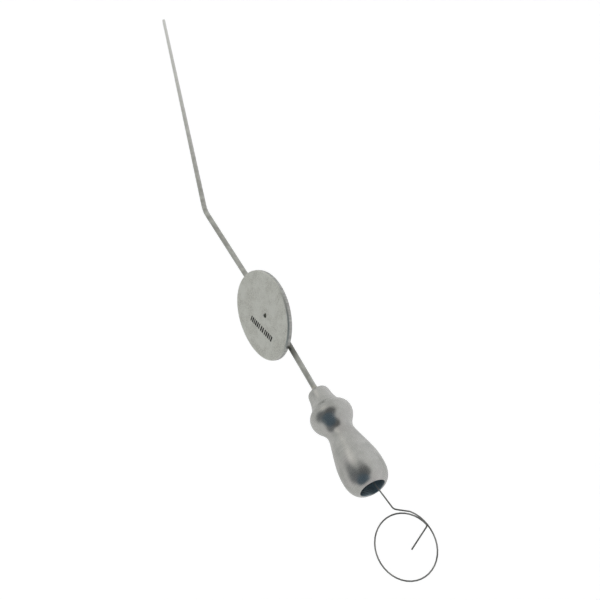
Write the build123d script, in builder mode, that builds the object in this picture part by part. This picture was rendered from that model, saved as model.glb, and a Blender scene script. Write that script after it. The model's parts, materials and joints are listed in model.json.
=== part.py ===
"""Angled surgical suction tube with a finger cut-off plate, a turned olive hub and a cleaning stylet.

Millimetres. The origin is the centre of the hub's open mouth, where the suction hose goes on.
+X runs along the hub and the straight part of the tube towards the tip, and +Z is the normal of
the finger plate's face. The tube bends down, away from that face.
"""

from build123d import *
from math import cos, radians, sin, tan
import os

# ---- driving dimensions -------------------------------------------------------------------

# suction tube: one bent stainless tube, 1.33 mm outside, drawn down to 1.0 mm at its tip
tube_r = 0.665
tube_bore_r = 0.465
tip_r = 0.50
tip_bore_r = 0.32
tip_land = 6.0
tube_inner_end = 8.5
kink_x = 52.95
kink_angle = 2.5
kink_radius = 25.0
bend_x = 92.95
bend_radius = 14.0
bend_angle = 16.0
bend_straight = 1.0
distal_length = 101.7

# finger plate: an oval stainless plate held just above the tube by the brazing
plate_centre_x = 53.34
plate_half_length = 12.19
plate_half_width = 9.30
plate_thickness = 1.15
plate_top_z = 2.0
plate_bottom_z = plate_top_z - plate_thickness
plate_side_shift = 0.60
plate_yaw = -2.0
plate_edge_round = 0.35
vent_x = 52.5
vent_r = 0.52

# brazing: a left and a right half between the plate and the tube, and a ring on the hub's nose
bead_low_angle = 4.0
bead_top_width = 0.60
bead_waist_width = 0.08
bead_waist_height = 0.6
bead_half_length = 10.2
nose_bead_r = 1.35
nose_bead_length = 1.3

# olive hub: one turned stainless piece, hollow from its mouth
hub_length = 27.7
mouth_r = 3.23
bore_r = 2.93
bore_depth = 8.0
cone_end = 12.6
passage_r = tube_r + 0.02
bulb_x = 4.7
bulb_r = 5.20
taper_x = 9.8
taper_r = 4.50
neck_x = 14.9
neck_r = 3.31
collar_rear_x = 17.65
collar_rear_r = 4.19
collar_rear_slope = 0.75
collar_x = 20.2
collar_r = 5.11
collar_front_x = 22.8
collar_front_r = 3.57
nose_r = 2.72
nose_x = 25.8
nose_round = 0.95

# stylet: one springy wire that lies in the tube and ends in a ring behind the hub
wire_r = 0.175
stylet_split_x = 46.0
stylet_tip_gap = 1.0
lean_start_x = 7.1
lean_angle = 6.0
lean_radius = 8.0
ring_roll = -134.3
shoulder_out = 6.5
shoulder_radius = 1.6
ring_out = 14.92
ring_side = -0.30
ring_half_length = 7.62
ring_half_width = 6.33
ring_pass_gap = 0.30
ring_pitch = 0.36
ring_start_angle = 138.0
ring_sweep = 396.0
ring_arcs = 12
wire_end_out = 16.07
wire_end_side = 0.38
wire_end_radius = 0.5

os.makedirs("parts", exist_ok=True)

# ---- the tube's route -----------------------------------------------------------------------

bend = radians(bend_angle)
distal_direction = Vector(cos(bend), 0, -sin(bend))

tube_start = Vector(tube_inner_end, 0, 0)
kink_point = Vector(kink_x, 0, 0)
bend_point = Vector(bend_x, (bend_x - kink_x) * tan(radians(kink_angle)), 0)
tip_point = bend_point + distal_direction * distal_length

mid_direction = (bend_point - kink_point).normalized()
main_turn = radians(mid_direction.get_angle(distal_direction))
bend_tangent = bend_radius * tan(main_turn / 2)
taper_start = bend_point + distal_direction * (bend_tangent + bend_straight)
land_start = tip_point - distal_direction * tip_land


def across_hub(x):
    """The plane square to the hub's axis, with its own x along the part's Y."""
    return Plane(origin=(x, 0, 0), x_dir=(0, 1, 0), z_dir=(1, 0, 0))


def across_tip(centre):
    """The plane square to the tube's distal run."""
    return Plane(origin=centre, x_dir=(0, 1, 0), z_dir=distal_direction)


# ---- suction tube ---------------------------------------------------------------------------

with BuildPart() as suction_tube:
    for shaft_radius, end_radius, mode in (
        (tube_r, tip_r, Mode.ADD),
        (tube_bore_r, tip_bore_r, Mode.SUBTRACT),
    ):
        with BuildLine() as shaft_route:
            FilletPolyline(
                tube_start,
                kink_point,
                bend_point,
                taper_start,
                radius=[kink_radius, bend_radius],
            )
        with BuildSketch(across_hub(tube_inner_end)):
            Circle(shaft_radius)
        sweep(path=shaft_route.wires()[0], mode=mode)
        with BuildSketch(across_tip(taper_start)):
            Circle(shaft_radius)
        with BuildSketch(across_tip(land_start)):
            Circle(end_radius)
        loft(mode=mode)
        with BuildSketch(across_tip(land_start)):
            Circle(end_radius)
        extrude(amount=tip_land, mode=mode)
    # the vent goes through the top wall only, under the finger plate's hole
    with BuildSketch(Plane.XY):
        with Locations((vent_x, 0)):
            Circle(vent_r)
    extrude(amount=2 * tube_r, mode=Mode.SUBTRACT)

suction_tube.part.label = "suction_tube"
export_step(suction_tube.part, "parts/suction_tube.step")

# ---- finger plate ---------------------------------------------------------------------------

with BuildPart() as finger_plate:
    with BuildSketch(Plane.XY.offset(plate_bottom_z)):
        with Locations((plate_centre_x, plate_side_shift)):
            Ellipse(plate_half_length, plate_half_width, rotation=plate_yaw)
    extrude(amount=plate_thickness)
    fillet(finger_plate.faces().sort_by(Axis.Z)[-1].edges(), plate_edge_round)
    with BuildSketch(Plane.XY):
        with Locations((vent_x, 0)):
            Circle(vent_r)
    extrude(amount=2 * plate_top_z, mode=Mode.SUBTRACT)

finger_plate.part.label = "finger_plate"
export_step(finger_plate.part, "parts/finger_plate.step")

# ---- brazing between the plate and the tube ---------------------------------------------------


def plate_bead(hand):
    """The half of the brazing on the side given by hand (1 or -1), with a hollowed flank."""
    start = kink_point - Vector(bead_half_length, 0, 0)
    end = kink_point + mid_direction * bead_half_length
    low = radians(bead_low_angle)
    middle = (low + radians(90)) / 2
    low_point = (hand * tube_r * cos(low), tube_r * sin(low))
    middle_point = (hand * tube_r * cos(middle), tube_r * sin(middle))
    crown = (0, tube_r)
    under_plate = (0, plate_bottom_z)
    top_outer = (hand * (tube_r + bead_top_width), plate_bottom_z)
    waist = (hand * (tube_r + bead_waist_width), bead_waist_height * plate_bottom_z)
    with BuildPart() as bead:
        with BuildLine() as bead_route:
            FilletPolyline(start, kink_point, end, radius=[kink_radius])
        with BuildSketch(across_hub(start.X)):
            with BuildLine():
                ThreePointArc(low_point, middle_point, crown)
                Polyline(crown, under_plate, top_outer)
                Bezier(top_outer, waist, low_point)
            make_face()
        sweep(path=bead_route.wires()[0])
        with BuildSketch(Plane.XY):
            with Locations((vent_x, 0)):
                Circle(vent_r)
        extrude(amount=2 * plate_top_z, mode=Mode.SUBTRACT)
    return bead


plate_bead_left = plate_bead(1)
plate_bead_left.part.label = "plate_bead_left"
export_step(plate_bead_left.part, "parts/plate_bead_left.step")

plate_bead_right = plate_bead(-1)
plate_bead_right.part.label = "plate_bead_right"
export_step(plate_bead_right.part, "parts/plate_bead_right.step")

# ---- olive hub --------------------------------------------------------------------------------

with BuildPart() as olive_hub:
    with BuildSketch(Plane.XZ):
        with BuildLine():
            Line((0, bore_r), (0, mouth_r))
            Spline(
                (0, mouth_r),
                (bulb_x, bulb_r),
                (taper_x, taper_r),
                (neck_x, neck_r),
                (collar_rear_x, collar_rear_r),
                tangents=[(0.55, 1.0), (1.0, collar_rear_slope)],
            )
            Spline(
                (collar_rear_x, collar_rear_r),
                (collar_x, collar_r),
                (collar_front_x, collar_front_r),
                tangents=[(1.0, collar_rear_slope), (0.62, -1.0)],
            )
            Spline(
                (collar_front_x, collar_front_r),
                (nose_x, nose_r),
                (hub_length, nose_r - nose_round),
                tangents=[(1.0, -0.4), (0.15, -1.0)],
            )
            Polyline(
                (hub_length, nose_r - nose_round),
                (hub_length, passage_r),
                (cone_end, passage_r),
                (bore_depth, bore_r),
                (0, bore_r),
            )
        make_face()
    revolve(axis=Axis.X)

olive_hub.part.label = "olive_hub"
export_step(olive_hub.part, "parts/olive_hub.step")

# ---- brazed ring where the tube enters the hub's nose ------------------------------------------

with BuildPart() as nose_bead:
    with BuildSketch(Plane.XZ):
        with BuildLine():
            Line((hub_length, tube_r), (hub_length, nose_bead_r))
            Bezier(
                (hub_length, nose_bead_r),
                (hub_length + 0.3 * nose_bead_length, tube_r + 0.25 * (nose_bead_r - tube_r)),
                (hub_length + nose_bead_length, tube_r),
            )
            Line((hub_length + nose_bead_length, tube_r), (hub_length, tube_r))
        make_face()
    revolve(axis=Axis.X)

nose_bead.part.label = "nose_bead"
export_step(nose_bead.part, "parts/nose_bead.step")

# ---- stylet: the flexible length that follows the tube's bend -----------------------------------

with BuildPart() as stylet_tail:
    with BuildLine() as tail_route:
        FilletPolyline(
            (stylet_split_x, 0, 0),
            kink_point,
            bend_point,
            tip_point - distal_direction * stylet_tip_gap,
            radius=[kink_radius, bend_radius],
        )
    with BuildSketch(across_hub(stylet_split_x)):
        Circle(wire_r)
    sweep(path=tail_route.wires()[0])

stylet_tail.part.label = "stylet_tail"
export_step(stylet_tail.part, "parts/stylet_tail.step")

# ---- stylet: the straight shank and the ring ------------------------------------------------------

side_direction = Vector(0, cos(radians(ring_roll)), sin(radians(ring_roll)))
depth_direction = Vector(1, 0, 0).cross(side_direction)
ring_step = ring_sweep / ring_arcs


def in_ring_plane(outward, sideways, depth=0):
    """A point near the ring's plane: its distance behind the mouth, its side offset, its depth."""
    return Vector(-outward, 0, 0) + side_direction * sideways + depth_direction * depth


def ring_point(turns_done, spread):
    """A point of the ring's oval, which winds inwards and a little backwards to clear itself."""
    angle = radians(ring_start_angle - ring_sweep * turns_done)
    grow = ring_pass_gap * (0.5 - turns_done)
    return in_ring_plane(
        ring_out + (ring_half_length + grow) * spread * cos(angle),
        ring_side + (ring_half_width + grow) * spread * sin(angle),
        ring_pitch * turns_done,
    )


def rounding(before, corner, after):
    """The radius whose arc uses almost half of the shorter run beside a corner."""
    half_turn = radians((corner - before).get_angle(after - corner)) / 2
    shorter = min((corner - before).length, (after - corner).length)
    return 0.49 * shorter / tan(half_turn)


shoulder_side = (lean_start_x + shoulder_out) * tan(radians(lean_angle))
corner_spread = 1 / cos(radians(ring_step) / 2)
wire_points = [
    Vector(stylet_split_x, 0, 0),
    Vector(lean_start_x, 0, 0),
    in_ring_plane(shoulder_out, shoulder_side),
]
for index in range(ring_arcs):
    wire_points.append(ring_point(index / ring_arcs, corner_spread))
wire_points.append(ring_point(1, 1))
wire_points.append(in_ring_plane(wire_end_out, wire_end_side, ring_pitch))

wire_radii = [lean_radius, shoulder_radius]
for index in range(3, 3 + ring_arcs):
    wire_radii.append(rounding(*wire_points[index - 1 : index + 2]))
wire_radii.append(wire_end_radius)

with BuildPart() as stylet_ring:
    with BuildLine() as wire_route:
        FilletPolyline(*wire_points, radius=wire_radii)
    with BuildSketch(across_hub(stylet_split_x)):
        Circle(wire_r)
    sweep(path=wire_route.wires()[0])

stylet_ring.part.label = "stylet_ring"
export_step(stylet_ring.part, "parts/stylet_ring.step")
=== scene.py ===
"""Looks of the angled suction tube: steel finishes, brazing, an etched plate and a studio."""

import json
from math import cos, pi, radians, sin, tan

import bmesh
import bpy
from mathutils import Matrix, Vector, noise as field


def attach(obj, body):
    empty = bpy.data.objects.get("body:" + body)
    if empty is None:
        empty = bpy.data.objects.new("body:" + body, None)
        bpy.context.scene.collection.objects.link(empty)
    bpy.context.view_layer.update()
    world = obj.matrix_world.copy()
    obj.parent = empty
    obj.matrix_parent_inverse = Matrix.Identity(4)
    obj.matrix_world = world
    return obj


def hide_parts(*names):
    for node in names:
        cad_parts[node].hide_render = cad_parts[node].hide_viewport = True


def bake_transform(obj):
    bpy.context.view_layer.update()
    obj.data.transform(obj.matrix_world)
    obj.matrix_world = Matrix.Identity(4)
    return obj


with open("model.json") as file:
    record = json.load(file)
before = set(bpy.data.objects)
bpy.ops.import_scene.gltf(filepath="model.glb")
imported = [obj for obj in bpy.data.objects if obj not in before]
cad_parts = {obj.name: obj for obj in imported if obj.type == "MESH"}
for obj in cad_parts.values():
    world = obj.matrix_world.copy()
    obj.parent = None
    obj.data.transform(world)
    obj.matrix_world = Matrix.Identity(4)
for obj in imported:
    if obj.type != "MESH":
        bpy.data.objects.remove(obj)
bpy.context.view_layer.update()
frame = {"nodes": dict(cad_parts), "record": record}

MM = 0.001
ROOT = "suction_tube_body"
RING = "stylet_ring_body"

# ---- sizes in millimetres and angles in degrees -------------------------------------------------

# The tube's centre line, with a slight sideways kink under the plate and the bend downwards.
TUBE_R = 0.665
KINK = Vector((52.95, 0, 0))
KINK_ANGLE = 2.5
KINK_RADIUS = 25.0
BEND_X = 92.95
BEND_RADIUS = 14.0
BEND_ANGLE = 16.0
DISTAL_LENGTH = 101.7
BEND = Vector((BEND_X, (BEND_X - KINK.x) * tan(radians(KINK_ANGLE)), 0))
DISTAL = Vector((cos(radians(BEND_ANGLE)), 0, -sin(radians(BEND_ANGLE))))
TIP = BEND + DISTAL * DISTAL_LENGTH
MIDDLE = (BEND - KINK).normalized()

# The hub leans by this much at its mouth, along +Y and +Z alike, about a point by its collar.
HUB_ASLANT = 0.12
HUB_PIVOT = 17.0
BORE_R = 2.93
PASSAGE_R = TUBE_R + 0.02

# The finger plate. Its outline is an oval with three slight corners.
PLATE_CENTRE = Vector((53.44, 0.74, 0))
PLATE_HALF_LENGTH = 12.36
PLATE_HALF_WIDTH = 9.48
PLATE_UNEVEN = 0.016
PLATE_TOP = 2.0
PLATE_BOTTOM = 0.85
PLATE_YAW = -0.6
PLATE_EDGE_ROUND = 0.45
VENT = Vector((52.35, 0.08, 0))
VENT_R = 0.56
BROKEN_EDGE = 0.08

# The etched bars: how wide each is in its three groups, their height, and the gaps.
BAR_GROUPS = (
    (0.55, 0.45, 0.55, 0.55, 0.45),
    (0.55, 0.55),
    (0.45, 0.55, 0.55, 0.45, 0.55, 0.45),
)
BAR_HEIGHT = 1.35
BAR_GAP = 0.25
BAR_GROUP_GAP = 0.22
BAR_ROW_START = -5.0
BAR_ROW_CENTRE = (51.2, 3.45)
BAR_ROW_TURN = 14
ETCH_DEPTH = 0.06

# The brazing between plate and tube.
BRAZE_HALF_LENGTH = 10.2
BRAZE_STEP = 0.35
BRAZE_THINNING = 1.6

# The stylet, a wire split inside the tube: a flexible tail, and a shank and ring that turn.
WIRE_R = 0.175
WIRE_CHAMFER = 0.03
SPLIT_X = 46.0
TAIL_GAP = 1.0
TAIL_FINE_STEP = 0.2
TAIL_FINE_STEPS = 21
SHANK_END = 7.1
SHOULDER = 6.5
SHANK_LEAN = 6.0
RING_ROLL = -134.3
RING_OUT = 14.86
RING_OFFSET = -0.37
RING_HALF_LENGTH = 7.62
RING_HALF_WIDTH = 6.33
RING_START = 138.0
RING_SWEEP = 396.0
RING_ARCS = 44
RING_PITCH = 0.38
RING_SIDE = Vector((0, cos(radians(RING_ROLL)), sin(radians(RING_ROLL))))
RING_DEPTH = Vector((1, 0, 0)).cross(RING_SIDE)

# ---- camera: the photograph's viewing angle -----------------------------------------------------

CAMERA_PLACE = Vector((-90.71, -152.75, 149.07)) * MM
CAMERA_FORWARD = Vector((0.55551, 0.57336, -0.60222)).normalized()
CAMERA_UP = Vector((0.70785, -0.7061, -0.01931)).normalized()
CAMERA_LENS = 63.0


def look_basis(forward, up):
    """The rotation that points an object's -Z along forward, with its Y near up."""
    right = forward.cross(up).normalized()
    return Matrix((right, right.cross(forward), -forward)).transposed().to_4x4()


def add_camera():
    """A 36 mm frame camera that looks down past the hub towards the tip."""
    data = bpy.data.cameras.new("camera")
    data.lens = CAMERA_LENS
    data.sensor_width = 36.0
    data.clip_start = 0.01
    data.clip_end = 10.0
    camera = bpy.data.objects.new("camera", data)
    bpy.context.scene.collection.objects.link(camera)
    camera.matrix_world = Matrix.Translation(CAMERA_PLACE) @ look_basis(CAMERA_FORWARD, CAMERA_UP)
    bpy.context.scene.camera = camera


# ---- shader building ----------------------------------------------------------------------------


class Paint:
    """One material's node tree, with short calls for the nodes that the finishes share."""

    def __init__(self, name):
        self.material = bpy.data.materials.new(name)
        self.material.use_nodes = True
        self.tree = self.material.node_tree
        self.shader = self.tree.nodes["Principled BSDF"]
        self.place = self.node("ShaderNodeTexCoord").outputs["Object"]

    def node(self, kind, **settings):
        made = self.tree.nodes.new(kind)
        for key, value in settings.items():
            setattr(made, key, value)
        return made

    def link(self, source, target):
        self.tree.links.new(source, target)

    def put(self, socket, value):
        """Sets a socket to a plain value, or links another node's output to it."""
        if isinstance(value, bpy.types.NodeSocket):
            self.link(value, socket)
        else:
            socket.default_value = value

    def stretched(self, scale, turn=(0, 0, 0)):
        """The object's own coordinates, in metres, turned and scaled per axis."""
        mapping = self.node("ShaderNodeMapping", vector_type="POINT")
        self.link(self.place, mapping.inputs["Vector"])
        mapping.inputs["Rotation"].default_value = turn
        mapping.inputs["Scale"].default_value = scale
        return mapping.outputs["Vector"]

    def noise(self, where, detail, roughness):
        made = self.node("ShaderNodeTexNoise")
        self.link(where, made.inputs["Vector"])
        made.inputs["Scale"].default_value = 1.0
        made.inputs["Detail"].default_value = detail
        made.inputs["Roughness"].default_value = roughness
        return made.outputs["Fac"]

    def math(self, operation, a, b):
        made = self.node("ShaderNodeMath", operation=operation)
        self.put(made.inputs[0], a)
        self.put(made.inputs[1], b)
        return made.outputs[0]

    def ranged(self, value, from_low, from_high, to_low, to_high):
        made = self.node("ShaderNodeMapRange")
        self.put(made.inputs["Value"], value)
        made.inputs["From Min"].default_value = from_low
        made.inputs["From Max"].default_value = from_high
        made.inputs["To Min"].default_value = to_low
        made.inputs["To Max"].default_value = to_high
        return made.outputs["Result"]

    def mixed(self, share, first, second):
        made = self.node("ShaderNodeMix", data_type="RGBA")
        self.put(made.inputs["Factor"], share)
        self.put(made.inputs["A"], first)
        self.put(made.inputs["B"], second)
        return made.outputs["Result"]

    def axis(self, name):
        """One of the object's own coordinates, in metres."""
        split = self.node("ShaderNodeSeparateXYZ")
        self.link(self.place, split.inputs[0])
        return split.outputs[name]

    def bump(self, height, distance, strength):
        made = self.node("ShaderNodeBump")
        made.inputs["Strength"].default_value = strength
        made.inputs["Distance"].default_value = distance
        self.link(height, made.inputs["Height"])
        self.link(made.outputs["Normal"], self.shader.inputs["Normal"])

    def finish(self, colour, roughness):
        """Bare metal of this colour and roughness, each a number, a colour or a socket."""
        self.put(self.shader.inputs["Base Color"], colour)
        self.put(self.shader.inputs["Roughness"], roughness)
        self.shader.inputs["Metallic"].default_value = 1.0
        return self.material


def steel(tone, red=1.0, blue=1.0):
    """A steel colour from its green level and how its red and blue stand to that."""
    return (tone * red, tone, tone * blue, 1.0)


def tube_finish():
    """Drawn tube: lines along it, clouds, a dark band at the plate that is partly heat tint and
    partly painted shade under the plate, a brighter tip.
    """
    p = Paint("tube_steel")
    fine = p.noise(p.stretched((900, 9000, 9000)), 4.0, 0.6)
    cloud = p.noise(p.stretched((520, 520, 520)), 3.0, 0.6)
    where = p.axis("X")
    clouded = p.ranged(cloud, 0.35, 0.65, 0.0, 1.0)
    tone = p.mixed(clouded, steel(0.46, 0.99, 0.94), steel(0.67, 0.99, 0.95))
    polished = p.ranged(where, 0.105, 0.192, 0.0, 1.0)
    tone = p.mixed(polished, tone, steel(0.98, 0.99, 0.97))
    # A darker band by and under the plate: partly brazing heat tint, partly painted shade where
    # the plate overhangs the tube.
    heat_starts = p.ranged(where, 0.0372, 0.0395, 0.0, 0.78)
    heat_fades = p.ranged(where, 0.046, 0.056, 1.0, 0.0)
    tone = p.mixed(p.math("MULTIPLY", heat_starts, heat_fades), tone, steel(0.17, 1.0, 0.90))
    drawn = p.ranged(fine, 0.3, 0.7, 0.26, 0.36)
    rough = p.math("ADD", drawn, p.ranged(cloud, 0.3, 0.7, 0.0, 0.08))
    p.bump(fine, 0.000012, 0.6)
    return p.finish(tone, rough)


def plate_finish():
    """Bead-blasted plate: a close grain, blotches where it is handled, and fine scratches."""
    p = Paint("plate_steel")
    grain = p.noise(p.stretched((3600, 3600, 3600)), 3.0, 0.65)
    blotch = p.noise(p.stretched((330, 330, 330)), 4.0, 0.62)
    scratch = p.noise(p.stretched((260, 9000, 2000), (0, 0, radians(24))), 2.0, 0.5)
    marks = p.ranged(scratch, 0.60, 0.72, 0.0, 1.0)
    blasted = p.ranged(grain, 0.32, 0.68, 0.0, 1.0)
    tone = p.mixed(blasted, steel(0.56, 0.99, 0.93), steel(0.90, 0.99, 0.94))
    tone = p.mixed(p.ranged(blotch, 0.38, 0.60, 0.0, 0.7), tone, steel(0.93, 0.985, 0.95))
    tone = p.mixed(p.math("MULTIPLY", marks, 0.3), tone, steel(0.96, 0.99, 0.96))
    handled = p.ranged(blotch, 0.3, 0.7, 0.42, 0.50)
    rough = p.math("SUBTRACT", handled, p.math("MULTIPLY", marks, 0.12))
    p.bump(grain, 0.00004, 0.7)
    return p.finish(tone, rough)


def hub_finish():
    """Turned hub: fine tool lines round it, a satin polish, a faint warm cast and a few scuffs."""
    p = Paint("hub_steel")
    turned = p.noise(p.stretched((7000, 60, 60)), 3.0, 0.6)
    cloud = p.noise(p.stretched((260, 260, 260)), 4.0, 0.6)
    warm = p.noise(p.stretched((150, 150, 150), (0.4, 0.9, 0.2)), 2.0, 0.5)
    scuff = p.noise(p.stretched((500, 2500, 1700), (0.3, 0.2, 0.5)), 3.0, 0.5)
    marks = p.ranged(scuff, 0.60, 0.70, 0.0, 1.0)
    clouded = p.ranged(cloud, 0.35, 0.65, 0.0, 1.0)
    tone = p.mixed(clouded, steel(0.55, 0.99, 0.97), steel(0.72, 1.0, 0.98))
    tone = p.mixed(p.ranged(warm, 0.48, 0.66, 0.0, 0.5), tone, steel(0.61, 1.055, 1.0))
    tone = p.mixed(p.math("MULTIPLY", marks, 0.25), tone, steel(0.82, 1.0, 0.98))
    tooled = p.ranged(turned, 0.3, 0.7, 0.23, 0.30)
    rough = p.math("ADD", tooled, p.math("MULTIPLY", marks, 0.08))
    p.bump(turned, 0.00001, 0.6)
    return p.finish(tone, rough)


def bore_finish():
    """The hub's bore: rings left by the boring tool, unpolished, in a dark bluish tone that is
    painted shade inside the bore.
    """
    p = Paint("hub_bore_painted_shade")
    rings = p.noise(p.stretched((9000, 90, 90)), 3.0, 0.6)
    cut = p.ranged(rings, 0.35, 0.65, 0.0, 1.0)
    # Dark bluish tones: painted shade inside the bore and the tube's passage.
    tone = p.mixed(cut, steel(0.36, 0.80, 1.14), steel(0.62, 0.84, 1.10))
    rough = p.ranged(rings, 0.3, 0.7, 0.30, 0.45)
    p.bump(rings, 0.00002, 0.6)
    return p.finish(tone, rough)


def braze_finish():
    """Silver braze, pale and a little yellow, with heat tint and pickled blotches."""
    p = Paint("braze")
    grain = p.noise(p.stretched((3000, 3000, 3000)), 3.0, 0.6)
    blotch = p.noise(p.stretched((900, 900, 900)), 3.0, 0.6)
    pickled = p.ranged(blotch, 0.35, 0.65, 0.0, 1.0)
    tone = p.mixed(pickled, steel(0.66, 1.01, 0.93), steel(0.50, 1.03, 0.88))
    rough = p.ranged(blotch, 0.3, 0.7, 0.30, 0.42)
    p.bump(grain, 0.00004, 0.8)
    return p.finish(tone, rough)


def wire_finish():
    """Drawn spring wire, darker than the tube, with a fine grain and patches that are lighter and
    darker at random along it.
    """
    p = Paint("wire_steel")
    grain = p.noise(p.stretched((3000, 3000, 3000)), 3.0, 0.6)
    oxide = p.noise(p.stretched((210, 210, 210)), 3.0, 0.6)
    # Patches lighter and darker at random along the wire.
    worn = p.ranged(oxide, 0.40, 0.62, 0.0, 1.0)
    tone = p.mixed(worn, steel(0.21, 1.0, 0.98), steel(0.52, 1.01, 0.98))
    rough = p.ranged(grain, 0.3, 0.7, 0.30, 0.40)
    p.bump(grain, 0.000015, 0.6)
    return p.finish(tone, rough)


def cut_edge_finish():
    """The plate's sheared edge: duller than its blasted face, with marks that run across it; its
    darker tone is partly bare sheared steel and partly painted shade along the edge wall.
    """
    p = Paint("cut_edge_painted_shade")
    marks = p.noise(p.stretched((1500, 1500, 120)), 3.0, 0.6)
    sheared = p.ranged(marks, 0.35, 0.65, 0.0, 1.0)
    # Darker than the face: partly bare sheared steel, partly painted shade on the edge wall.
    tone = p.mixed(sheared, steel(0.42, 0.99, 0.98), steel(0.66, 0.99, 0.97))
    rough = p.ranged(marks, 0.3, 0.7, 0.30, 0.42)
    p.bump(marks, 0.00002, 0.5)
    return p.finish(tone, rough)


def etch_finish():
    """The floor of the etched bars: dark oxide, rough, with pale pits."""
    p = Paint("etched_oxide")
    pits = p.noise(p.stretched((9000, 9000, 9000)), 2.0, 0.6)
    tone = p.mixed(p.ranged(pits, 0.4, 0.7, 0.0, 1.0), steel(0.06), steel(0.15))
    rough = p.ranged(pits, 0.3, 0.7, 0.55, 0.75)
    p.bump(pits, 0.00003, 0.7)
    return p.finish(tone, rough)


# ---- mesh building ------------------------------------------------------------------------------


def keep_mesh(name, bm, material, smooth=True):
    """Turns a bmesh in millimetres into an object in metres."""
    bmesh.ops.remove_doubles(bm, verts=bm.verts, dist=1e-5)
    bmesh.ops.recalc_face_normals(bm, faces=bm.faces)
    bmesh.ops.scale(bm, vec=(MM, MM, MM), verts=bm.verts)
    for face in bm.faces:
        face.smooth = smooth
    mesh = bpy.data.meshes.new(name)
    bm.to_mesh(mesh)
    bm.free()
    mesh.materials.append(material)
    made = bpy.data.objects.new(name, mesh)
    bpy.context.scene.collection.objects.link(made)
    return made


def sharpen(made, degrees):
    """Keeps edges crisp where faces meet at more than the angle."""
    made.data.set_sharp_from_angle(angle=radians(degrees))


def join_rings(bm, rings):
    """Faces between each ring of vertices and the next; returns them."""
    faces = []
    for first, second in zip(rings, rings[1:]):
        for here in range(len(first)):
            after = (here + 1) % len(first)
            corners = (first[here], first[after], second[after], second[here])
            faces.append(bm.faces.new(corners))
    return faces


def lathe(name, outline, material, around, ripple=None):
    """A closed turned piece about X from its (x, radius) outline, rippled if asked."""
    bm = bmesh.new()
    rings = []
    for x, radius in outline:
        ring = []
        for step in range(around):
            angle = 2 * pi * step / around
            r = radius + (ripple(x, radius, angle) if ripple else 0)
            ring.append(bm.verts.new((x, r * cos(angle), r * sin(angle))))
        rings.append(ring)
    join_rings(bm, rings + rings[:1])
    return keep_mesh(name, bm, material)


def hermite(points, slopes, steps):
    """A smooth run through (x, r) points whose slopes are dr/dx, sampled evenly between them."""
    run = []
    for (x0, r0), (x1, r1), m0, m1 in zip(points, points[1:], slopes, slopes[1:]):
        span = x1 - x0
        for step in range(steps):
            t = step / steps
            a = 2 * t**3 - 3 * t**2 + 1
            b = t**3 - 2 * t**2 + t
            c = -2 * t**3 + 3 * t**2
            d = t**3 - t**2
            run.append((x0 + span * t, a * r0 + b * span * m0 + c * r1 + d * span * m1))
    run.append(points[-1])
    return run


def close_ends(bm, rings):
    """A flat face over the first ring and over the last."""
    bm.faces.new(list(reversed(rings[0])))
    bm.faces.new(rings[-1])


def bent_path(corners, radii, step):
    """Points along straight runs joined by arcs, no further apart than the step on an arc."""
    path = [corners[0].copy()]
    for before, corner, after, radius in zip(corners, corners[1:], corners[2:], radii):
        arriving = (corner - before).normalized()
        leaving = (after - corner).normalized()
        turn = arriving.angle(leaving)
        reach = radius * tan(turn / 2)
        side = (leaving - arriving * arriving.dot(leaving)).normalized()
        start = corner - arriving * reach
        count = max(4, int(radius * turn / step) + 1)
        for index in range(count + 1):
            a = turn * index / count
            path.append(start + arriving * radius * sin(a) + side * radius * (1 - cos(a)))
    path.append(corners[-1].copy())
    return path


def divided(path, longest):
    """The same path with its long straight runs cut into shorter ones."""
    made = [path[0]]
    for start, end in zip(path, path[1:]):
        count = max(1, int((end - start).length / longest + 0.999))
        for index in range(1, count + 1):
            made.append(start.lerp(end, index / count))
    return made


def carried_frames(path, first_side):
    """A tangent and a side direction at each point, carried along without twist."""
    frames = []
    side = first_side
    for index, point in enumerate(path):
        ahead = path[min(index + 1, len(path) - 1)] - path[max(index - 1, 0)]
        tangent = ahead.normalized()
        side = (side - tangent * side.dot(tangent)).normalized()
        frames.append((point, tangent, side))
    return frames


def skin(bm, frames, radius_at, around):
    """Rings of vertices round a path, joined by faces and closed at both ends."""
    rings = []
    for index, (point, tangent, side) in enumerate(frames):
        other = tangent.cross(side)
        ring = []
        for step in range(around):
            angle = 2 * pi * step / around
            outward = side * cos(angle) + other * sin(angle)
            ring.append(bm.verts.new(point + outward * radius_at(index)))
        rings.append(ring)
    join_rings(bm, rings)
    close_ends(bm, rings)


# ---- the hub, turned in one piece ---------------------------------------------------------------


def hub_outline():
    """The hub's section: rounded mouth, olive, collar, nose, and back down its bore."""
    rim = [(0.10, 2.99), (0.0, 3.06), (0.0, 3.17), (0.05, 3.27)]
    olive = [(0.12, 3.42), (0.45, 3.864), (1.74, 4.735), (4.8, 5.20)]
    olive += [(9.4, 4.595), (12.4, 3.838), (15.35, 3.267), (17.65, 4.19)]
    collar = [(17.65, 4.19), (18.9, 4.895), (20.1, 5.111), (21.4, 4.84), (22.8, 3.60)]
    nose = [(22.8, 3.60), (24.6, 2.95), (25.9, 2.71), (26.75, 2.597)]
    outer = hermite(olive, [1.6, 1.09, 0.41, 0.0, -0.24, -0.25, 0.0, 0.75], 10)[:-1]
    outer += hermite(collar, [0.75, 0.37, 0.0, -0.45, -1.3], 10)[:-1]
    outer += hermite(nose, [-0.48, -0.26, -0.11, -0.21], 6)
    rounding = [(27.01, 2.528), (27.26, 2.42), (27.47, 2.255)]
    rounding += [(27.60, 2.07), (27.67, 1.9), (27.7, 1.7)]
    bore = [(27.7, PASSAGE_R), (12.6, PASSAGE_R), (8.0, 2.90)]
    groove_depth, groove_width, groove_pitch = 0.055, 0.28, 0.42
    x = 7.7
    while x > 0.5:
        groove_floor = (x - groove_width / 2, BORE_R + groove_depth)
        bore += [(x, BORE_R), groove_floor, (x - groove_width, BORE_R)]
        x -= groove_pitch
    return rim + outer + rounding + bore


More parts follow.
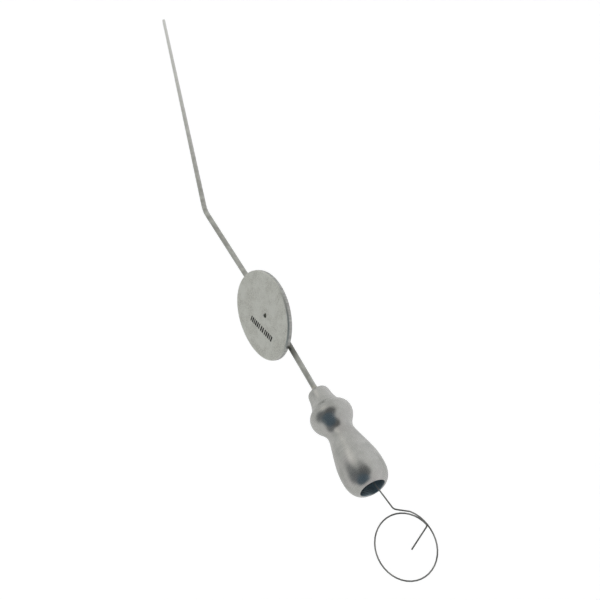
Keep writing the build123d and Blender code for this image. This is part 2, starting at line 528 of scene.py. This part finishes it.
def build_hub(material, bore_material):
    """The turned hub, whose bore is left as the boring tool cut it.

    It was brazed on a fraction of a degree out of line with the tube.
    """
    hub = lathe("hub_turned", hub_outline(), material, 160)
    hub.data.materials.append(bore_material)
    # The bore and the tube's passage take the bore material, with its painted shade.
    for face in hub.data.polygons:
        centre = face.center / MM
        radius = Vector((0, centre.y, centre.z)).length
        in_bore = radius < 3.0 and 0.12 < centre.x < 12.7
        in_passage = radius < 0.8
        face.material_index = 1 if in_bore or in_passage else 0
    for vertex in hub.data.vertices:
        aslant = HUB_ASLANT * MM * (1 - vertex.co.x / (HUB_PIVOT * MM))
        vertex.co += Vector((0, aslant, aslant))
    sharpen(hub, 26)
    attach(hub, ROOT)
    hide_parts("olive_hub")


# ---- the finger plate, with its vent and an etched row of plain bars ----------------------------


def plate_section(angle):
    """Points from the vent's rim across the top, over the edge and back under the plate."""
    uneven = 1 + PLATE_UNEVEN * sin(3 * angle)
    edge = Vector((PLATE_HALF_LENGTH * cos(angle), PLATE_HALF_WIDTH * sin(angle), 0)) * uneven
    edge = Matrix.Rotation(radians(PLATE_YAW), 3, "Z") @ edge + PLATE_CENTRE
    vent = VENT + Vector((cos(angle), sin(angle), 0)) * VENT_R
    outward = (edge - vent).normalized()
    flat_start = vent + outward * BROKEN_EDGE
    flat_end = edge - outward * PLATE_EDGE_ROUND
    points = [(vent, PLATE_BOTTOM), (vent, PLATE_TOP - BROKEN_EDGE), (flat_start, PLATE_TOP)]
    points += [(flat_start.lerp(flat_end, k / 14), PLATE_TOP) for k in range(1, 15)]
    for across, down in ((0.30, 0.02), (0.42, 0.09), (0.80, 0.42), (0.93, 0.58), (1.0, 0.90)):
        spot = flat_end + outward * PLATE_EDGE_ROUND * across
        points.append((spot, PLATE_TOP - PLATE_EDGE_ROUND * down))
    points.append((edge, PLATE_BOTTOM + BROKEN_EDGE))
    points.append((edge - outward * BROKEN_EDGE, PLATE_BOTTOM))
    points += [(edge.lerp(vent, k / 12), PLATE_BOTTOM) for k in range(1, 12)]
    return points


def etched_bars(material):
    """A cutter: three groups of plain upright bars in a row, like a machine-made tally."""
    bm = bmesh.new()
    turn = Matrix.Rotation(radians(BAR_ROW_TURN), 4, "Z")
    row = Matrix.Translation((*BAR_ROW_CENTRE, PLATE_TOP)) @ turn
    cutter_height = 0.14
    x = BAR_ROW_START
    for group in BAR_GROUPS:
        for width in group:
            bar = bmesh.ops.create_cube(bm, size=1.0)["verts"]
            middle = Matrix.Translation((x + width / 2, 0, 0))
            size = Matrix.Diagonal((width, BAR_HEIGHT, cutter_height, 1))
            bmesh.ops.transform(bm, matrix=row @ middle @ size, verts=bar)
            for vertex in bar:
                vertex.co.z = max(vertex.co.z, PLATE_TOP - ETCH_DEPTH)
            x += width + BAR_GAP
        x += BAR_GROUP_GAP
    return keep_mesh("etch_cutter", bm, material, smooth=False)


def build_plate(material, wall_material, etch):
    """The plate with its vent, slightly wavy face, sheared edge with painted shade on its wall,
    and etched bars.
    """
    bm = bmesh.new()
    around = 144
    # The faces round the lower edge and down the wall take the darker edge material, with its
    # painted shade.
    wall_faces = (20, 21, 22)
    rings = []
    for step in range(around):
        angle = 2 * pi * step / around
        column = []
        for point, z in plate_section(angle):
            wave = 0.012 * field.noise(Vector((point.x * 0.55, point.y * 0.55, z)))
            column.append(bm.verts.new((point.x, point.y, z + wave)))
        rings.append(column)
    for first, second in zip(rings, rings[1:] + rings[:1]):
        for k in range(len(first)):
            after = (k + 1) % len(first)
            face = bm.faces.new((first[k], second[k], second[after], first[after]))
            face.material_index = 1 if k in wall_faces else 0
    plate = keep_mesh("plate_blasted", bm, material)
    plate.data.materials.append(wall_material)
    cutter = etched_bars(etch)
    cut = plate.modifiers.new("etch", "BOOLEAN")
    cut.operation = "DIFFERENCE"
    cut.solver = "EXACT"
    cut.material_mode = "TRANSFER"
    cut.object = cutter
    evaluated = plate.evaluated_get(bpy.context.evaluated_depsgraph_get())
    shaped = bpy.data.meshes.new_from_object(evaluated)
    plate.modifiers.clear()
    plate.data = shaped
    bpy.data.objects.remove(cutter)
    sharpen(plate, 32)
    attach(plate, ROOT)
    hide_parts("finger_plate")


# ---- brazing ------------------------------------------------------------------------------------


def braze_flank(point, side, hand, swell):
    """One hollow flank of the brazing, from low on the tube up to the plate's underside."""
    lumps = 1 + 0.22 * field.noise(Vector((point.x * 1.1, hand * 4.0, 0.5)))
    width = 0.60 * lumps * swell
    top = PLATE_BOTTOM + 0.02 if swell > 0.55 else PLATE_BOTTOM - 0.25 * (0.55 - swell)
    low = Vector((TUBE_R * 0.985, -0.02 - 0.12 * lumps * swell))
    waist = Vector((TUBE_R + 0.10 * lumps, 0.72 * top))
    high = Vector((TUBE_R * 0.75 + 0.17 + width, top))
    flank = []
    for k in range(9):
        t = k / 8
        spot = low * (1 - t) ** 2 + waist * 2 * t * (1 - t) + high * t**2
        flank.append(point + side * hand * spot.x + Vector((0, 0, spot.y)))
    return flank


def build_plate_braze(material):
    """The brazing between plate and tube: uneven flanks, and ends that thin out onto the tube."""
    rear = KINK - Vector((BRAZE_HALF_LENGTH, 0, 0))
    front = KINK + MIDDLE * BRAZE_HALF_LENGTH
    path = divided(bent_path([rear, KINK, front], [KINK_RADIUS], 0.3), BRAZE_STEP)
    bm = bmesh.new()
    rings = []
    last = len(path) - 1
    for index, (point, _, side) in enumerate(carried_frames(path, Vector((0, 1, 0)))):
        from_end = min(index, last - index) * BRAZE_STEP
        swell = min(1.0, (from_end / BRAZE_THINNING) ** 0.5)
        near_flank = braze_flank(point, side, 1, swell)
        far_flank = braze_flank(point, side, -1, swell)
        far_flank.reverse()
        under = [point + side * u + Vector((0, 0, 0.1)) for u in (-0.4, -0.15, 0.15, 0.4)]
        rings.append([bm.verts.new(spot) for spot in near_flank + far_flank + under])
    join_rings(bm, rings)
    close_ends(bm, rings)
    braze = keep_mesh("plate_braze", bm, material)
    sharpen(braze, 50)
    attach(braze, ROOT)
    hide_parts("plate_bead_left", "plate_bead_right")


def build_nose_braze(material):
    """The small uneven cone of braze where the tube enters the hub."""
    tip_x = 29.0
    outline = [(27.5, 0.60), (27.5, 1.36), (27.72, 1.35), (27.80, 1.22), (27.95, 1.02)]
    outline += [(28.15, 0.87), (28.45, 0.75), (28.8, 0.69), (tip_x, 0.667), (tip_x, 0.60)]

    def ripple(x, radius, angle):
        """Lumps on the cone's outside that die away towards its tip."""
        share = max(0.0, min(1.0, (tip_x - x) / 1.2)) * (radius > 0.66)
        return share * 0.11 * field.noise(Vector((2.0 * cos(angle), 2.0 * sin(angle), 1.3 * x)))

    braze = lathe("nose_braze", outline, material, 72, ripple)
    sharpen(braze, 50)
    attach(braze, ROOT)
    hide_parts("nose_bead")


# ---- stylet -------------------------------------------------------------------------------------


def wire(name, path, around, material):
    """A round wire along a path, its ends cut square with a small chamfer."""
    near_start = path[0].lerp(path[1], WIRE_CHAMFER / (path[1] - path[0]).length)
    near_end = path[-1].lerp(path[-2], WIRE_CHAMFER / (path[-1] - path[-2]).length)
    path = [path[0], near_start] + path[1:-1] + [near_end, path[-1]]
    ends = (0, len(path) - 1)

    def radius_at(index):
        return WIRE_R - WIRE_CHAMFER if index in ends else WIRE_R

    bm = bmesh.new()
    skin(bm, carried_frames(path, Vector((0, 1, 0))), radius_at, around)
    made = keep_mesh(name, bm, material)
    sharpen(made, 35)
    return made


def build_tail(material):
    """The flexible length, from inside the tube round the bend to just short of the tip.

    Its first few millimetres have closely spaced rings, because they stretch as it slides.
    """
    corners = [Vector((SPLIT_X, 0, 0)), KINK, BEND, TIP - DISTAL * TAIL_GAP]
    path = divided(bent_path(corners, [KINK_RADIUS, BEND_RADIUS], 0.5), 2.0)
    start = [Vector((SPLIT_X + TAIL_FINE_STEP * k, 0, 0)) for k in range(TAIL_FINE_STEPS + 1)]
    beyond = SPLIT_X + TAIL_FINE_STEP * (TAIL_FINE_STEPS + 0.5)
    path = start + [point for point in path if point.x > beyond]
    tail = wire("stylet_flexible", path, 16, material)
    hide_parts("stylet_tail")
    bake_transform(tail)


def ring_place(outward, sideways, depth=0.0):
    """A point near the ring's plane: its distance behind the mouth, its side offset, its depth."""
    return Vector((-outward, 0, 0)) + RING_SIDE * sideways + RING_DEPTH * depth


def build_ring(material):
    """The straight shank, its lean and shoulder, the wound ring and its turned-in end."""
    shoulder = ring_place(SHOULDER, (SHANK_END + SHOULDER) * tan(radians(SHANK_LEAN)))
    oval = []
    for k in range(RING_ARCS + 1):
        done = k / RING_ARCS
        angle = radians(RING_START - RING_SWEEP * done)
        grow = 0.50 * max(0.0, 1 - done / 0.13) ** 1.5 - 0.02
        outward = RING_OUT + (RING_HALF_LENGTH + grow) * cos(angle)
        sideways = RING_OFFSET + (RING_HALF_WIDTH + grow) * sin(angle)
        oval.append(ring_place(outward, sideways, RING_PITCH * done))
    lean = [Vector((SPLIT_X, 0, 0)), Vector((SHANK_END, 0, 0)), shoulder, oval[0]]
    run = bent_path(lean, [8.0, 1.6], 0.12)
    hook_end = ring_place(16.02, 0.34, RING_PITCH)
    hook = bent_path([oval[-2], oval[-1], hook_end], [0.5], 0.12)
    path = divided(run[:-1], 2.0) + oval[:-2] + hook
    ring = wire("stylet_shank_ring", path, 20, material)
    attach(ring, RING)
    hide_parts("stylet_ring")


# ---- studio: a white surround, a soft grey room round it, and one softbox -----------------------


def aim(azimuth, elevation):
    """A direction from its azimuth about Z and its elevation, in degrees."""
    a, e = radians(azimuth), radians(elevation)
    return Vector((cos(e) * cos(a), cos(e) * sin(a), sin(e)))


def add_room():
    """A grey room as steel reflects it: pale below, dim overhead, dark on the camera's side."""
    world = bpy.data.worlds.new("studio")
    bpy.context.scene.world = world
    world.use_nodes = True
    nodes, links = world.node_tree.nodes, world.node_tree.links
    looking = nodes.new("ShaderNodeTexCoord").outputs["Generated"]

    def patch(under, towards, full, fade, colour):
        """A round patch of colour over what is there, full and faded out at these degrees."""
        dot = nodes.new("ShaderNodeVectorMath")
        dot.operation = "DOT_PRODUCT"
        links.new(looking, dot.inputs[0])
        dot.inputs[1].default_value = towards
        spread = nodes.new("ShaderNodeMapRange")
        spread.interpolation_type = "SMOOTHSTEP"
        links.new(dot.outputs["Value"], spread.inputs["Value"])
        spread.inputs["From Min"].default_value = cos(radians(fade))
        spread.inputs["From Max"].default_value = cos(radians(full))
        mix = nodes.new("ShaderNodeMix")
        mix.data_type = "RGBA"
        links.new(spread.outputs["Result"], mix.inputs["Factor"])
        if isinstance(under, bpy.types.NodeSocket):
            links.new(under, mix.inputs["A"])
        else:
            mix.inputs["A"].default_value = under
        mix.inputs["B"].default_value = colour
        return mix.outputs["Result"]

    walls, floor = (0.56, 0.56, 0.545, 1), (0.62, 0.62, 0.615, 1)
    room = patch(walls, aim(0, -90), 40, 95, floor)
    ceiling = (0.17, 0.18, 0.185, 1)
    room = patch(room, aim(0, 90), 16, 44, ceiling)
    softbox_glow = (0.66, 0.65, 0.62, 1)
    room = patch(room, aim(-30, 42), 8, 22, softbox_glow)
    dark_side = (0.115, 0.12, 0.12, 1)
    room = patch(room, aim(-104, 38), 22, 40, dark_side)
    dark_blue_corner = (0.078, 0.112, 0.138, 1)
    room = patch(room, aim(-160, 42), 26, 42, dark_blue_corner)
    links.new(room, nodes["Background"].inputs["Color"])
    nodes["Background"].inputs["Strength"].default_value = 1.0


def add_softbox():
    """One tall soft light at the tip's side, which draws the pale streak down the hub."""
    data = bpy.data.lights.new("softbox", "AREA")
    data.shape = "RECTANGLE"
    data.size = 0.09
    data.size_y = 0.5
    data.energy = 0.022
    data.color = (1.0, 0.98, 0.94)
    light = bpy.data.objects.new("softbox", data)
    bpy.context.scene.collection.objects.link(light)
    target = Vector((0.03, 0, 0))
    place = target + aim(-26, 47) * 0.7
    facing = look_basis((target - place).normalized(), Vector((0, 0, 1)))
    light.matrix_world = Matrix.Translation(place) @ facing


def add_surround():
    """A plain white floor that rises into a wall all round, lit so that it shows no shadow."""
    floor_z, centre_x, around = -0.30, 0.09, 64
    flat_r, curve_r, wall_top = 0.9, 0.5, 1.6
    outline = [(0.0001, 0.0), (flat_r, 0.0)]
    for degrees in range(10, 91, 10):
        rise = radians(degrees)
        outline.append((flat_r + curve_r * sin(rise), curve_r * (1 - cos(rise))))
    outline.append((flat_r + curve_r, wall_top))
    bm = bmesh.new()
    rings = []
    for r, z in outline:
        ring = []
        for step in range(around):
            angle = 2 * pi * step / around
            ring.append(bm.verts.new((centre_x + r * cos(angle), r * sin(angle), floor_z + z)))
        rings.append(ring)
    for face in join_rings(bm, rings):
        face.smooth = True
    mesh = bpy.data.meshes.new("surround")
    bm.to_mesh(mesh)
    bm.free()
    paper = bpy.data.materials.new("surround_paper")
    paper.use_nodes = True
    shader = paper.node_tree.nodes["Principled BSDF"]
    shader.inputs["Base Color"].default_value = (0.5, 0.5, 0.5, 1)
    shader.inputs["Roughness"].default_value = 0.9
    shader.inputs["Emission Color"].default_value = (1, 1, 1, 1)
    shader.inputs["Emission Strength"].default_value = 0.645
    mesh.materials.append(paper)
    surround = bpy.data.objects.new("surround", mesh)
    bpy.context.scene.collection.objects.link(surround)
    surround.visible_glossy = False
    surround.visible_shadow = False


# ---- everything together ------------------------------------------------------------------------

add_camera()
bpy.context.scene.view_settings.view_transform = "Standard"

finishes = {
    "tube_steel": tube_finish(),
    "plate_steel": plate_finish(),
    "hub_steel": hub_finish(),
    "braze": braze_finish(),
    "wire_steel": wire_finish(),
}
for entry in frame["record"]["subparts"]:
    cad_object = frame["nodes"][entry["node"]]
    cad_object.data.materials.clear()
    cad_object.data.materials.append(finishes[entry["material_slot"]])

build_hub(finishes["hub_steel"], bore_finish())
build_plate(finishes["plate_steel"], cut_edge_finish(), etch_finish())
build_plate_braze(finishes["braze"])
build_nose_braze(finishes["braze"])
build_tail(finishes["wire_steel"])
build_ring(finishes["wire_steel"])

add_room()
add_softbox()
add_surround()
